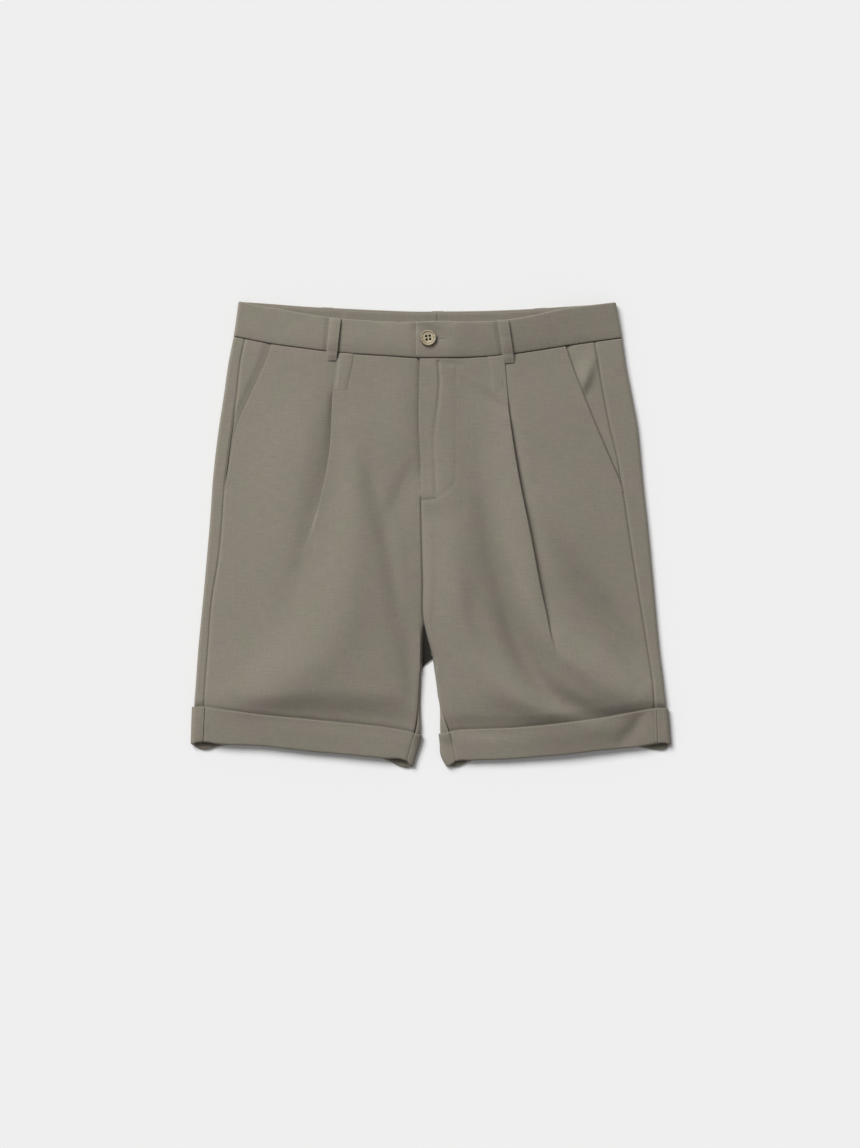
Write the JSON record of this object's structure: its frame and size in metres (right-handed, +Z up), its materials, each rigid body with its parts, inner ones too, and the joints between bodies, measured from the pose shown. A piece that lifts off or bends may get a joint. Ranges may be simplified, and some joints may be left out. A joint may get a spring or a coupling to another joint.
{
  "type": "bermuda shorts",
  "caption": "Men's tailored bermuda shorts in cotton twill, laid flat on their back: buttoned waistband, fly, front pleats, slant pockets and turn-ups.",
  "frame": {"origin": "middle of the bounding box in X and Y, on the surface that the shorts lie on", "axes": "+Z up, away from the surface; +X towards the wearer's left side; +Y towards the waist"},
  "size_m": [0.5208, 0.5039, 0.0196],
  "materials": {
    "twill": "matt cotton twill",
    "button_resin": "satin",
    "zip_tape": "matt woven tape"
  },
  "bodies": {
    "root": {"front_right": "twill", "front_left": "twill", "back_right": "twill", "back_left": "twill", "pocket_facing_right": "twill", "pocket_facing_left": "twill", "waistband_right": "twill", "waistband_left": "twill", "waistband_facing_right": "twill", "waistband_facing_left": "twill", "cuff_front_right": "twill", "cuff_front_left": "twill", "cuff_back_right": "twill", "cuff_back_left": "twill", "belt_loop_front_right": "twill", "belt_loop_front_left": "twill", "belt_loop_back_right": "twill", "belt_loop_back_centre": "twill", "belt_loop_back_left": "twill", "button": "button_resin", "zip": "zip_tape"}
  },
  "joints": []
}
